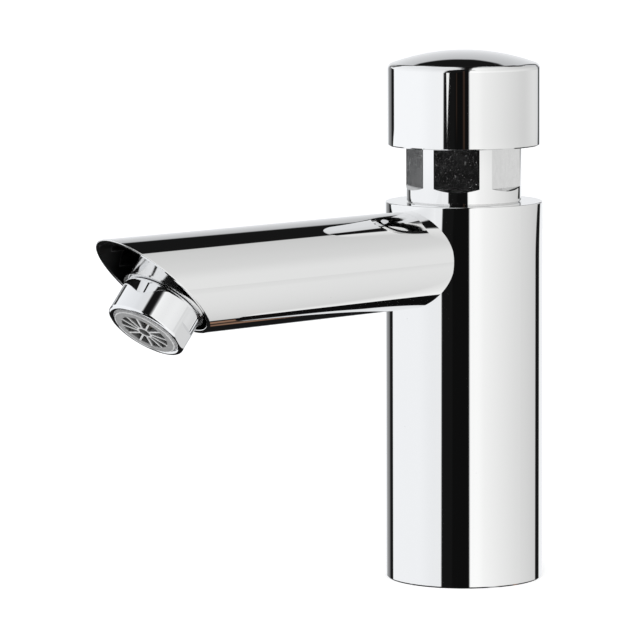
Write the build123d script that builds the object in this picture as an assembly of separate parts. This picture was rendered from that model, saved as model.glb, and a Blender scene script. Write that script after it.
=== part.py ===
from build123d import *
import math
import os

# Push timed tap: a round column with a horizontal spout, an aerator set square to the
# spout's slanted mouth, and a domed push cap that works a self-closing cartridge.
# Millimetres and degrees. Z is up, the deck plane is at zero, the spout points along -Y.

# Clearances and cutters
overrun = 6.0
screw_play = 0.05
slip_play = 0.05
running_play = 0.05

# Column
column_radius = 25.0
column_height = 120.6
column_wall = 4.5
crown_thickness = 8.6
crown_bore_radius = 16.5
shoulder_edge = 0.35
foot_edge = 0.5

# Spout and its mouth
spout_radius = 15.4
spout_wall = 1.2
spout_drop = 17.1
spout_seat_depth = 5.0
waterway_radius = 8.5
waterway_drop = 2.5
mouth_reach = 131.35
mouth_angle = 49.6
lip_edge = 0.2

# Nozzle closing the spout's mouth
aerator_setback = 6.0
floor_depth = 10.0
floor_thickness = 2.5
collar_radius = 12.8
nozzle_bore_radius = 8.5
nozzle_ring_radius = 13.4
nozzle_ring_thickness = 0.6
nozzle_ring_gap = 0.1
nozzle_thread_radius = 11.0
nozzle_thread_length = 3.4

# Aerator
housing_radius = 12.6
housing_length = 11.4
housing_shoulder_fillet = 1.4
housing_lip_radius = 10.6
housing_lip_height = 1.0
housing_rim_fillet = 0.85
housing_flat_half_angle = 19.0
housing_flat_height = 5.2
housing_flat_turn = 339.0
insert_play = 0.5
insert_flange_length = 5.0
insert_proud = 0.35
insert_edge = 0.15
grille_thickness = 1.5
window_radius = 7.8
hub_radius = 2.55
hub_hole_radius = 1.9
spoke_width = 0.6
spoke_count = 12
spoke_turn = 8.0
mesh_seat_width = 0.7
mesh_seat_height = 0.7
mesh_thickness = 0.4
insert_wall = 1.6
regulator_foot_width = 1.2
regulator_plate_thickness = 1.2
regulator_hole_radius = 0.9
regulator_hole_circle = 5.0
regulator_hole_count = 8
regulator_pin_radius = 2.0
regulator_pin_height = 1.6
regulator_cord_radius = 0.7

# Foot plug and what it holds
plug_height = 22.0
inlet_radius = 4.5
inlet_length = 14.0
inlet_chamber_radius = 11.0
sleeve_socket_depth = 4.0
stud_hole_radius = 3.4
stud_hole_depth = 11.0
stud_offset = 11.5
gasket_outer_inset = 1.2
gasket_width = 3.0
gasket_thickness = 2.0
foot_cord_radius = 0.8
foot_groove_height = 9.0
groove_width_share = 1.3
strainer_flange = 0.8
strainer_radius = 9.0
strainer_wall = 0.8
strainer_length = 12.0
strainer_slot_width = 1.6
strainer_slot_height = 6.0
strainer_slot_count = 12

# Bonnet, whose neck shows between the column and the cap
neck_radius = 18.3
neck_rise = 24.4
neck_foot_edge = 0.4
neck_top_edge = 0.8
bonnet_socket_depth = 8.0
bonnet_cord_radius = 0.8
recess_count = 6
recess_half_angle = 23.4
recess_turn = 36.9
recess_floor_rise = 5.0
recess_floor_slope = 35.0
recess_top_margin = 4.0
bush_radius = 8.0
bush_floor_rise = 4.0
bush_flange_radius = 10.4
bush_flange_thickness = 1.5
bush_relief_radius = 4.6
stem_cord_radius = 0.9
stem_seal_rise = 3.0
stem_seal_pitch = 4.0
stem_seal_count = 2
wiper_width = 2.4
wiper_height = 2.2
wiper_notch = 0.7
bumper_width = 2.6
bumper_thickness = 1.0

# Cartridge
sleeve_radius = 14.5
sleeve_bore_radius = 12.0
sleeve_cord_radius = 0.8
outlet_count = 6
outlet_width = 7.0
outlet_height = 10.0
outlet_rise = 3.0
seat_rib_width = 1.0
seat_rib_height = 1.4
seat_height = 4.0
seat_hole_radius = 6.5
seat_lip_width = 0.8
seat_lip_height = 0.6
seat_cord_radius = 0.6

# Plunger
push_travel = 7.0
stop_gap = 0.1
chamber_gap = 3.0
stem_radius = 4.0
stem_rod_radius = 2.5
stem_tail_radius = 2.0
stem_thread_radius = 3.0
stem_thread_length = 6.0
stem_tail_margin = 1.0
piston_height = 10.0
piston_play = 0.5
piston_groove_width = 4.0
piston_groove_depth = 2.7
piston_groove_rise = 4.0
seal_notch_depth = 2.0
seal_notch_width = 1.4
jet_radius = 1.2
jet_orifice_radius = 0.35
jet_offset = 6.3
clip_radius = 5.0
clip_thickness = 0.8
clip_groove_depth = 0.6
clip_opening = 3.6
washer_radius = 9.2
washer_thickness = 3.0
holder_wall = 0.7
holder_floor = 2.0
holder_rim_height = 1.6
nut_across_flats = 7.0
nut_height = 3.2

# Return spring
spring_radius = 7.6
spring_length = 28.0
spring_wire_radius = 0.7
spring_end_pitch = 2.0
spring_end_turns = 1
spring_active_turns = 5
spring_grind = 0.25
arcs_per_turn = 4

# Push cap and its carrier
cap_radius = 24.2
cap_skirt_wall = 2.2
cap_gap = 17.8
cap_side_rise = 25.6
cap_dome_rise = 4.5
cap_corner_fillet = 2.0
cap_bottom_edge = 0.35
carrier_radius = 12.0
carrier_height = 7.5
carrier_edge = 0.5
turning_gap = 0.1
boss_wall = 2.6
boss_overhang = 2.0
ring_thickness = 1.15
ring_groove_depth = 0.95
ring_width = 1.9
ring_opening = 8.0

# Levels worked out from the sizes above
column_bore_radius = column_radius - column_wall
spout_axis_height = column_height - spout_drop
crown_low = column_height - crown_thickness
bonnet_low = crown_low - bonnet_socket_depth
bonnet_top = column_height + neck_rise
bush_low = crown_low + bush_floor_rise
bush_top = bonnet_top + bush_flange_thickness
bumper_top = bush_top + bumper_thickness
strainer_low = plug_height - sleeve_socket_depth
sleeve_low = strainer_low + strainer_flange
sleeve_top = crown_low
piston_top = crown_low - chamber_gap
piston_low = piston_top - piston_height
seat_top = piston_low - spring_length
seat_low = seat_top - seat_height
washer_top = seat_low - seat_lip_height
holder_top = washer_top - washer_thickness
nut_top = holder_top - holder_floor
stem_low = nut_top - nut_height - stem_tail_margin
carrier_low = bumper_top + push_travel + stop_gap
carrier_top = carrier_low + carrier_height
cap_low = column_height + cap_gap
cap_side_top = cap_low + cap_side_rise
cap_ceiling = carrier_top + turning_gap
spout_seat = column_radius - spout_seat_depth
spout_bore_radius = spout_radius - spout_wall
aerator_rim_drop = housing_length + nozzle_ring_thickness + nozzle_ring_gap
floor_low = aerator_rim_drop + floor_depth
nozzle_end = housing_length - nozzle_thread_length

# Frames: the mouth's plane faces out of the spout, the aerator's has its rim at zero
mouth_normal = (0, -math.cos(math.radians(mouth_angle)), -math.sin(math.radians(mouth_angle)))
mouth_frame = Plane(origin=(0, -mouth_reach, spout_axis_height), x_dir=(1, 0, 0), z_dir=mouth_normal)
aerator_frame = mouth_frame.offset(aerator_rim_drop) * Pos(0, -aerator_setback, 0)
spout_frame = Plane(origin=(0, 0, spout_axis_height), x_dir=(1, 0, 0), z_dir=(0, -1, 0))


def turned(*outline):
    """A solid turned about Z from its (radius, height) outline."""
    return revolve(Plane.XZ * make_face(Polyline(*outline, close=True)), Axis.Z)


def disc(radius, low, high):
    """A plain cylinder between two heights."""
    return Pos(0, 0, low) * Cylinder(radius, high - low, align=(Align.CENTER, Align.CENTER, Align.MIN))


def ring(outer, inner, low, high):
    """A plain ring between two heights."""
    return turned((inner, low), (outer, low), (outer, high), (inner, high))


def cord_ring(outer, cord_radius, height):
    """A round sealing ring by its outer radius, at the height of its middle."""
    return Pos(0, 0, height) * Torus(outer - cord_radius, cord_radius)


def cord_groove(bore, cord_radius, height):
    """What is cut from a plug's side for a sealing ring that fills the gap to the bore round it."""
    half = cord_radius * groove_width_share
    return ring(bore + overrun, bore - 2 * cord_radius, height - half, height + half)


def around(count, shape, start=0):
    """Copies of a shape, evenly spread about Z."""
    return [Rot(0, 0, start + 360 * i / count) * shape for i in range(count)]


def slot_cutter(width, reach, low, high):
    """A straight radial slot from the axis outwards along +X."""
    return Pos(0, 0, low) * Box(reach, width, high - low, align=(Align.MIN, Align.CENTER, Align.MIN))


def rims(shape, radius, height):
    """The round edges of a turned shape that have this radius and height."""
    near = radius * 1e-4
    return [
        edge
        for edge in shape.edges().filter_by(GeomType.CIRCLE)
        if abs(edge.radius - radius) < near and abs(edge.arc_center.Z - height) < near
    ]


def column_body():
    """The column: a bored cylinder with a threaded crown and a socket for the spout."""
    shell = turned(
        (column_bore_radius, 0), (column_radius, 0), (column_radius, column_height),
        (crown_bore_radius, column_height), (crown_bore_radius, crown_low), (column_bore_radius, crown_low),
    )
    shell = chamfer(rims(shell, column_radius, 0), foot_edge)
    shell = fillet(rims(shell, column_radius, column_height), shoulder_edge)
    socket = spout_frame * disc(spout_radius, spout_seat, column_radius + overrun)
    waterway = spout_frame * Pos(0, -waterway_drop, 0) * disc(waterway_radius, 0, column_radius)
    return shell - socket - waterway


def spout_tube():
    """The spout: a round tube from the column's socket to the slanted mouth."""
    tube = spout_frame * ring(spout_radius, spout_bore_radius, spout_seat, 2 * mouth_reach)
    tube = split(tube, bisect_by=mouth_frame, keep=Keep.BOTTOM)
    lip = tube.faces().sort_by(Axis((0, 0, 0), mouth_normal))[-1]
    return fillet(lip.edges(), lip_edge)


def spout_nozzle():
    """The floor inside the mouth, with the collar, ring and thread that carry the aerator."""
    core = spout_frame * disc(spout_bore_radius - slip_play, spout_seat, 2 * mouth_reach)
    slab = aerator_frame * disc(mouth_reach, -floor_low - floor_thickness, -floor_low)
    ring_low = -housing_length - nozzle_ring_thickness
    neck = turned(
        (0, -floor_low - floor_thickness / 2), (collar_radius, -floor_low - floor_thickness / 2),
        (collar_radius, ring_low), (nozzle_ring_radius, ring_low),
        (nozzle_ring_radius, -housing_length), (nozzle_thread_radius, -housing_length),
        (nozzle_thread_radius, -nozzle_end), (0, -nozzle_end),
    )
    bore = disc(nozzle_bore_radius, -floor_low - floor_thickness - overrun, overrun)
    return (core & slab) + aerator_frame * neck - aerator_frame * bore


def aerator_housing():
    """The screwed housing, with a lip that holds the insert and two wrench flats."""
    body = turned(
        (nozzle_thread_radius + screw_play, -housing_length), (housing_radius, -housing_length),
        (housing_radius, 0), (housing_lip_radius, 0), (housing_lip_radius, -housing_lip_height),
        (nozzle_thread_radius + screw_play, -housing_lip_height),
    )
    body = fillet(rims(body, housing_radius, -housing_length), housing_shoulder_fillet)
    rim_fillet = min(housing_rim_fillet, 0.45 * (housing_radius - housing_lip_radius))
    body = fillet(rims(body, housing_radius, 0) + rims(body, housing_lip_radius, 0), rim_fillet)
    flat = housing_radius * math.cos(math.radians(housing_flat_half_angle))
    cutter = Pos(flat, 0, 0) * slot_cutter(2 * housing_radius, overrun, -housing_flat_height, overrun)
    return aerator_frame * (body - around(2, cutter, housing_flat_turn))


insert_radius = nozzle_thread_radius - screw_play
insert_nose_radius = housing_lip_radius - insert_play
insert_high = housing_lip_height + insert_flange_length
insert_bore_radius = insert_radius - insert_wall
grille_high = grille_thickness - insert_proud
mesh_seat = grille_high + mesh_seat_height
mesh_high = mesh_seat + mesh_thickness


def aerator_insert():
    """The moulded insert, whose face has a hub, spokes and windows."""
    body = turned(
        (0, insert_proud), (insert_nose_radius, insert_proud),
        (insert_nose_radius, -housing_lip_height), (insert_radius, -housing_lip_height),
        (insert_radius, -insert_high), (insert_bore_radius, -insert_high), (insert_bore_radius, -mesh_seat),
        (insert_bore_radius - mesh_seat_width, -mesh_seat),
        (insert_bore_radius - mesh_seat_width, -grille_high), (0, -grille_high),
    )
    body = chamfer(rims(body, insert_nose_radius, insert_proud), insert_edge)
    spokes = around(spoke_count, slot_cutter(spoke_width, window_radius, -mesh_seat, overrun), spoke_turn)
    windows = ring(window_radius, hub_radius, -mesh_seat, overrun) - spokes
    return aerator_frame * (body - windows - disc(hub_hole_radius, -mesh_seat, overrun))


def aerator_mesh():
    """The wire mesh behind the windows, as a thin disc."""
    return aerator_frame * disc(insert_bore_radius - slip_play, -mesh_high, -mesh_seat)


def flow_regulator():
    """The cup on the mesh, with a ring of holes round a centre pin."""
    outer = insert_bore_radius - slip_play
    plate_low = -insert_high + regulator_pin_height
    body = turned(
        (outer - regulator_foot_width, -mesh_high), (outer, -mesh_high), (outer, -insert_high),
        (outer - regulator_foot_width, -insert_high), (outer - regulator_foot_width, plate_low),
        (regulator_pin_radius, plate_low), (regulator_pin_radius, -insert_high), (0, -insert_high),
        (0, plate_low + regulator_plate_thickness),
        (outer - regulator_foot_width, plate_low + regulator_plate_thickness),
    )
    hole = Pos(regulator_hole_circle, 0, 0) * disc(regulator_hole_radius, -insert_high, 0)
    return aerator_frame * (body - around(regulator_hole_count, hole))


def regulator_o_ring():
    """The flexing ring that lies on the regulator's plate round its pin."""
    outer = regulator_pin_radius + slip_play + 2 * regulator_cord_radius
    plate_low = -insert_high + regulator_pin_height
    return aerator_frame * cord_ring(outer, regulator_cord_radius, plate_low - regulator_cord_radius)


def aerator_washer():
    """The flat washer between the insert and the nozzle's end."""
    return aerator_frame * ring(insert_radius, nozzle_bore_radius, -nozzle_end, -insert_high)


plug_radius = column_bore_radius - screw_play
gasket_outer = plug_radius - gasket_outer_inset


def foot_plug():
    """The plug screwed into the column's foot, with the inlet and stud threads below."""
    body = turned(
        (inlet_radius, 0), (plug_radius, 0), (plug_radius, plug_height),
        (sleeve_radius + slip_play, plug_height), (sleeve_radius + slip_play, strainer_low),
        (inlet_chamber_radius, strainer_low), (inlet_chamber_radius, inlet_length),
        (inlet_radius, inlet_length),
    )
    gasket_groove = ring(gasket_outer, gasket_outer - gasket_width, -overrun, gasket_thickness)
    stud_hole = Pos(0, stud_offset, 0) * disc(stud_hole_radius, -overrun, stud_hole_depth)
    seal_groove = cord_groove(column_bore_radius, foot_cord_radius, foot_groove_height)
    return body - gasket_groove - stud_hole - seal_groove


def base_gasket():
    """The flat gasket, flush with the foot, that seals on the deck."""
    return ring(gasket_outer - slip_play, gasket_outer - gasket_width + slip_play, 0, gasket_thickness)


def foot_o_ring():
    """The seal between the foot plug and the column."""
    return cord_ring(column_bore_radius, foot_cord_radius, foot_groove_height)


def inlet_strainer():
    """The slotted basket clamped under the cartridge."""
    outer, inner = strainer_radius, strainer_radius - strainer_wall
    basket_top = strainer_low + strainer_length
    basket = turned(
        (inner, strainer_low), (sleeve_radius, strainer_low), (sleeve_radius, sleeve_low),
        (outer, sleeve_low), (outer, basket_top), (0, basket_top),
        (0, basket_top - strainer_wall), (inner, basket_top - strainer_wall),
    )
    slot_low = sleeve_low + (basket_top - sleeve_low - strainer_slot_height) / 2
    slot_high = slot_low + strainer_slot_height
    slot = slot_cutter(strainer_slot_width, strainer_radius + overrun, slot_low, slot_high)
    return basket - around(strainer_slot_count, slot)


# Heights of the sleeve's two sealing rings, in the foot plug and in the bonnet
sleeve_seal_heights = (sleeve_low + sleeve_socket_depth / 2, sleeve_top - bonnet_socket_depth / 2)


def cartridge_sleeve():
    """The cartridge's sleeve, with outlets above the valve seat and a rib that holds the seat."""
    body = turned(
        (sleeve_bore_radius, sleeve_low), (sleeve_radius, sleeve_low), (sleeve_radius, sleeve_top),
        (sleeve_bore_radius, sleeve_top), (sleeve_bore_radius, seat_top + seat_rib_height),
        (sleeve_bore_radius - seat_rib_width, seat_top + seat_rib_height),
        (sleeve_bore_radius - seat_rib_width, seat_top), (sleeve_bore_radius, seat_top),
    )
    outlet_low = seat_top + outlet_rise
    outlet = slot_cutter(outlet_width, sleeve_radius + overrun, outlet_low, outlet_low + outlet_height)
    for height in sleeve_seal_heights:
        body -= cord_groove(sleeve_radius + slip_play, sleeve_cord_radius, height)
    return body - around(outlet_count, outlet)


def sleeve_o_rings():
    """The two alike seals round the sleeve's ends."""
    outer = sleeve_radius + slip_play
    return [cord_ring(outer, sleeve_cord_radius, height) for height in sleeve_seal_heights]


def valve_seat():
    """The seat ring, with a raised lip on its underside for the washer to close on."""
    body = turned(
        (seat_hole_radius, washer_top), (seat_hole_radius + seat_lip_width, washer_top),
        (seat_hole_radius + seat_lip_width, seat_low), (sleeve_bore_radius - slip_play, seat_low),
        (sleeve_bore_radius - slip_play, seat_top), (seat_hole_radius, seat_top),
    )
    return body - cord_groove(sleeve_bore_radius, seat_cord_radius, seat_low + seat_height / 2)


def seat_o_ring():
    """The seal between the seat and the sleeve."""
    return cord_ring(sleeve_bore_radius, seat_cord_radius, seat_low + seat_height / 2)


def bonnet():
    """The screwed bonnet, whose neck has six wrench recesses with sloping floors."""
    skirt = crown_bore_radius - screw_play
    seal_height = column_height - groove_width_share * bonnet_cord_radius
    body = turned(
        (sleeve_radius + slip_play, bonnet_low), (skirt, bonnet_low), (skirt, column_height),
        (neck_radius, column_height), (neck_radius, bonnet_top), (bush_radius + slip_play, bonnet_top),
        (bush_radius + slip_play, bush_low), (bush_relief_radius, bush_low),
        (bush_relief_radius, crown_low), (sleeve_radius + slip_play, crown_low),
    )
    body = chamfer(rims(body, neck_radius, column_height), neck_foot_edge)
    body = chamfer(rims(body, neck_radius, bonnet_top), neck_top_edge)
    flat = neck_radius * math.cos(math.radians(recess_half_angle))
    floor = column_height + recess_floor_rise
    top = bonnet_top - recess_top_margin
    outer = neck_radius + overrun
    drop = (outer - flat) * math.tan(math.radians(recess_floor_slope))
    outline = Polyline((flat, floor), (outer, floor - drop), (outer, top), (flat, top), close=True)
    cutter = extrude(Plane.XZ * make_face(outline), neck_radius, both=True)
    # The turn is counted from the spout's side, which is a quarter turn before +X
    recesses = around(recess_count, cutter, recess_turn - 90)
    groove = ring(skirt + screw_play, crown_bore_radius - 2 * bonnet_cord_radius,
                  seal_height - groove_width_share * bonnet_cord_radius, column_height)
    return body - recesses - groove


def bonnet_o_ring():
    """The seal under the neck, in the crown's bore."""
    height = column_height - groove_width_share * bonnet_cord_radius
    return cord_ring(crown_bore_radius, bonnet_cord_radius, height)


stem_seal_heights = [bush_low + stem_seal_rise + stem_seal_pitch * i for i in range(stem_seal_count)]
stem_bore_radius = stem_radius + running_play
wiper_low = bush_top - wiper_height
wiper_radius = stem_bore_radius + wiper_width


def guide_bush():
    """The flanged bush that guides the stem and holds its seals."""
    body = turned(
        (stem_bore_radius, bush_low), (bush_radius, bush_low), (bush_radius, bonnet_top),
        (bush_flange_radius, bonnet_top), (bush_flange_radius, bush_top), (wiper_radius, bush_top),
        (wiper_radius, wiper_low), (stem_bore_radius, wiper_low),
    )
    half = stem_cord_radius * groove_width_share
    for height in stem_seal_heights:
        body -= ring(stem_bore_radius + 2 * stem_cord_radius, stem_bore_radius - running_play,
                     height - half, height + half)
    return body


def stem_o_rings():
    """The alike seals round the stem."""
    outer = stem_bore_radius + 2 * stem_cord_radius
    return [cord_ring(outer, stem_cord_radius, height) for height in stem_seal_heights]


def wiper_seal():
    """The lipped ring that keeps dirt off the stem."""
    middle = (stem_bore_radius + wiper_radius) / 2
    return turned(
        (stem_bore_radius, wiper_low), (wiper_radius, wiper_low), (wiper_radius, bush_top),
        (middle + wiper_notch / 2, bush_top), (middle, bush_top - wiper_notch),
        (middle - wiper_notch / 2, bush_top), (stem_bore_radius, bush_top),
    )


def stop_bumper():
    """The soft ring on which the cap's carrier lands at the end of its stroke."""
    return ring(bush_flange_radius, bush_flange_radius - bumper_width, bush_top, bumper_top)


def stem():
    """The stem, stepped for the carrier above, the piston, and the valve below."""
    clip_top = piston_low
    neck = stem_rod_radius - clip_groove_depth
    return turned(
        (0, stem_low), (stem_tail_radius, stem_low), (stem_tail_radius, washer_top),
        (stem_rod_radius, washer_top), (stem_rod_radius, clip_top - clip_thickness),
        (neck, clip_top - clip_thickness), (neck, clip_top), (stem_rod_radius, clip_top),
        (stem_rod_radius, piston_top), (stem_radius, piston_top), (stem_radius, carrier_low),
        (stem_thread_radius, carrier_low), (stem_thread_radius, carrier_low + stem_thread_length),
        (0, carrier_low + stem_thread_length),
    )


piston_radius = sleeve_bore_radius - piston_play
piston_groove_floor = piston_radius - piston_groove_depth
piston_groove_low = piston_low + piston_groove_rise


def piston():
    """The piston that closes the timing chamber, with a seal groove and a hole for the jet."""
    high = piston_groove_low + piston_groove_width
    body = turned(
        (stem_rod_radius + slip_play, piston_low), (piston_radius, piston_low),
        (piston_radius, piston_groove_low), (piston_groove_floor, piston_groove_low),
        (piston_groove_floor, high), (piston_radius, high), (piston_radius, piston_top),
        (stem_rod_radius + slip_play, piston_top),
    )
    jet_hole = disc(jet_radius + slip_play, piston_low - overrun, piston_top + overrun)
    return body - Pos(jet_offset, 0, 0) * jet_hole


def piston_seal():
    """The cup seal, open towards the timing chamber."""
    outer = sleeve_bore_radius - running_play
    inner = piston_groove_floor + slip_play
    middle = (outer + inner) / 2
    high = piston_groove_low + piston_groove_width
    return turned(
        (inner, piston_groove_low), (outer, piston_groove_low), (outer, high),
        (middle + seal_notch_width / 2, high), (middle, high - seal_notch_depth),
        (middle - seal_notch_width / 2, high), (inner, high),
    )


def timing_jet():
    """The jet through the piston, whose orifice sets how slowly the tap closes."""
    return Pos(jet_offset, 0, 0) * ring(jet_radius, jet_orifice_radius, piston_low, piston_top)


def piston_clip():
    """The open clip in the rod's groove, under the piston."""
    body = ring(clip_radius, stem_rod_radius - clip_groove_depth, piston_low - clip_thickness, piston_low)
    return body - slot_cutter(clip_opening, clip_radius + overrun, piston_low - clip_thickness, piston_low)


def valve_washer():
    """The soft washer that closes on the seat's lip."""
    return ring(washer_radius, stem_tail_radius + slip_play, holder_top, washer_top)


def valve_holder():
    """The cup behind the washer."""
    inner, outer = washer_radius + slip_play, washer_radius + slip_play + holder_wall
    return turned(
        (stem_tail_radius + slip_play, nut_top), (outer, nut_top), (outer, holder_top + holder_rim_height),
        (inner, holder_top + holder_rim_height), (inner, holder_top),
        (stem_tail_radius + slip_play, holder_top),
    )


def valve_nut():
    """The nut that clamps the washer and its holder on the stem."""
    hexagon = RegularPolygon(nut_across_flats / 2, 6, major_radius=False)
    body = Pos(0, 0, nut_top - nut_height) * extrude(hexagon, nut_height)
    return body - disc(stem_tail_radius + screw_play, nut_top - 2 * nut_height, nut_top + nut_height)


def spring_turns():
    """The spring's number of turns."""
    return 2 * spring_end_turns + spring_active_turns


def spring_point(turn):
    """Where the wire's centre line is after so many turns: closed ends, open turns between."""
    low = seat_top + spring_wire_radius - spring_grind
    rise = spring_length - 2 * (spring_wire_radius - spring_grind)
    open_pitch = (rise - 2 * spring_end_turns * spring_end_pitch) / spring_active_turns
    last_open = spring_end_turns + spring_active_turns
    closed = min(turn, spring_end_turns) + max(turn - last_open, 0)
    opened = min(max(turn - spring_end_turns, 0), spring_active_turns)
    angle = 2 * math.pi * turn
    height = low + closed * spring_end_pitch + opened * open_pitch
    return Vector(spring_radius * math.cos(angle), spring_radius * math.sin(angle), height)


def spring_direction(turn):
    """The way that the wire runs after so many turns."""
    step = 1 / 64
    return (spring_point(turn + step) - spring_point(turn - step)).normalized()


def two_arcs(start, end, leave, arrive):
    """Two arcs that join tangentially between two points, each met along its own direction."""
    across = end - start
    both = leave + arrive
    spread = 2 * (1 - leave.dot(arrive))
    reach = (math.sqrt(across.dot(both) ** 2 + spread * across.dot(across)) - across.dot(both)) / spread
    near, far = start + leave * reach, end - arrive * reach
    middle = (near + far) * 0.5
    return [
        TangentArc(start, middle, tangent=leave),
        TangentArc(middle, end, tangent=far - near),
    ]


def return_spring():
    """The return spring: one round wire from end to end, with its two ends ground flat."""
    stops = [i / arcs_per_turn for i in range(spring_turns() * arcs_per_turn + 1)]
    arcs = []
    for start, end in zip(stops, stops[1:]):
        ways = spring_direction(start), spring_direction(end)
        arcs += two_arcs(spring_point(start), spring_point(end), *ways)
    path = Wire(arcs)
    section = Plane(origin=path @ 0, z_dir=path % 0) * Circle(spring_wire_radius)
    coil = sweep(section, path)
    return coil & disc(spring_radius + overrun, seat_top, piston_low)


def spring_least_gap():
    """The least free gap between the wire and itself, measured on points of its centre line."""
    steps = 48
    points = [spring_point(i / steps) for i in range(spring_turns() * steps + 1)]
    half_turn = steps // 2
    apart = min(
        (points[j] - points[i]).length for i in range(len(points)) for j in range(i + half_turn, len(points))
    )
    return apart - 2 * spring_wire_radius


def push_cap():
    """The domed cap, with a boss inside that turns on the carrier."""
    inner = cap_radius - cap_skirt_wall
    boss_inner = carrier_radius + running_play
    boss_low = carrier_low - boss_overhang
    ring_top = carrier_low - running_play
    ring_low = ring_top - ring_thickness - running_play
    bend = (cap_radius ** 2 + cap_dome_rise ** 2) / (2 * cap_dome_rise)
    half_radius = cap_radius / 2
    half_rise = math.sqrt(bend ** 2 - half_radius ** 2) - bend
    apex = cap_side_top + cap_dome_rise
    dome = ThreePointArc((cap_radius, cap_side_top), (half_radius, apex + half_rise), (0, apex))
    rest = Polyline(
        (0, apex), (0, cap_ceiling), (boss_inner, cap_ceiling), (boss_inner, boss_low),
        (boss_inner + boss_wall, boss_low), (boss_inner + boss_wall, cap_ceiling), (inner, cap_ceiling),
        (inner, cap_low), (cap_radius, cap_low), (cap_radius, cap_side_top),
    )
    body = revolve(Plane.XZ * make_face([dome, rest]), Axis.Z)
    body = fillet(rims(body, cap_radius, cap_side_top), cap_corner_fillet)
    body = chamfer(rims(body, cap_radius, cap_low), cap_bottom_edge)
    return body - ring(boss_inner + ring_groove_depth, boss_inner - running_play, ring_low, ring_top)


def retaining_ring():
    """The snap ring in the boss's groove, under the carrier."""
    outer = carrier_radius + running_play + ring_groove_depth
    high = carrier_low - running_play
    body = ring(outer, outer - ring_width, high - ring_thickness, high)
    return body - slot_cutter(ring_opening, outer + overrun, high - ring_thickness, high)


def cap_carrier():
    """The hub screwed on the stem, on which the cap turns freely."""
    body = turned(
        (stem_thread_radius + screw_play, carrier_low), (carrier_radius, carrier_low),
        (carrier_radius, carrier_top), (0, carrier_top), (0, carrier_low + stem_thread_length),
        (stem_thread_radius + screw_play, carrier_low + stem_thread_length),
    )
    return chamfer(rims(body, carrier_radius, carrier_top), carrier_edge)


pieces = {
    "column_body": column_body, "spout_tube": spout_tube, "spout_nozzle": spout_nozzle,
    "aerator_housing": aerator_housing, "aerator_insert": aerator_insert, "aerator_mesh": aerator_mesh,
    "flow_regulator": flow_regulator, "regulator_o_ring": regulator_o_ring, "aerator_washer": aerator_washer,
    "foot_plug": foot_plug, "base_gasket": base_gasket, "foot_o_ring": foot_o_ring,
    "inlet_strainer": inlet_strainer, "cartridge_sleeve": cartridge_sleeve, "sleeve_o_rings": sleeve_o_rings,
    "valve_seat": valve_seat, "seat_o_ring": seat_o_ring, "bonnet": bonnet, "bonnet_o_ring": bonnet_o_ring,
    "guide_bush": guide_bush, "stem_o_rings": stem_o_rings, "wiper_seal": wiper_seal,
    "stop_bumper": stop_bumper, "stem": stem, "piston": piston, "piston_seal": piston_seal,
    "timing_jet": timing_jet, "piston_clip": piston_clip, "valve_washer": valve_washer,
    "valve_holder": valve_holder, "valve_nut": valve_nut, "return_spring": return_spring,
    "cap_carrier": cap_carrier, "push_cap": push_cap, "retaining_ring": retaining_ring,
}

os.makedirs("parts", exist_ok=True)
for name, make in pieces.items():
    made = make()
    solids = [solid for shape in (made if isinstance(made, list) else [made]) for solid in shape.solids()]
    export_step(Compound(solids) if len(solids) > 1 else solids[0], f"parts/{name}.step")

print("least gap of the spring's wire to itself, mm:", round(spring_least_gap(), 2))
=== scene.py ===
import math

import bmesh
import bpy
from mathutils import Matrix, Vector


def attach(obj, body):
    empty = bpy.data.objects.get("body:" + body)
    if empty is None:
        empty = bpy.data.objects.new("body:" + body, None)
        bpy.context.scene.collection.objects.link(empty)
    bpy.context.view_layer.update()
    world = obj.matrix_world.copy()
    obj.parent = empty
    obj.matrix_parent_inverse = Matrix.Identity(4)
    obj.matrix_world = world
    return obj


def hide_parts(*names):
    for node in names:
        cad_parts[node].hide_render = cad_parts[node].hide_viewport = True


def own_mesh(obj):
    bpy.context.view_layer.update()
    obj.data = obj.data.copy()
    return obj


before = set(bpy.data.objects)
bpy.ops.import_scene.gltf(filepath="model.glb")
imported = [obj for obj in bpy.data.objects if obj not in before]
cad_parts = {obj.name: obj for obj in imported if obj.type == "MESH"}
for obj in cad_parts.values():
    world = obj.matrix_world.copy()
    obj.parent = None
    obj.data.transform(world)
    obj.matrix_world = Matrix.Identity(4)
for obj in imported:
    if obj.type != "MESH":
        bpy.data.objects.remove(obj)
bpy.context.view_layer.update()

# The dressed push timed tap. Metres and degrees, in the CAD model's frame: Z is up, the deck
# plane is at zero, the spout points along -Y.

MM = 0.001

# Camera, fitted to the outlines in the photograph
CAMERA_AZIMUTH = 46.635
CAMERA_DISTANCE = 1344.6 * MM
CAMERA_SIDE = -45.87 * MM
CAMERA_HEIGHT = 242.74 * MM
CAMERA_PITCH = 6.7917
CAMERA_ROLL = -0.266
CAMERA_CLIP = (0.05, 60.0)
LENS = 238.98
SENSOR = 36.0

# The chrome, whose reflections set how strong the studio's light is
CHROME_COLOUR = (0.865, 0.87, 0.88)
CHROME_GREY = 0.87
DISPLAY_GAMMA = 2.2

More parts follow.
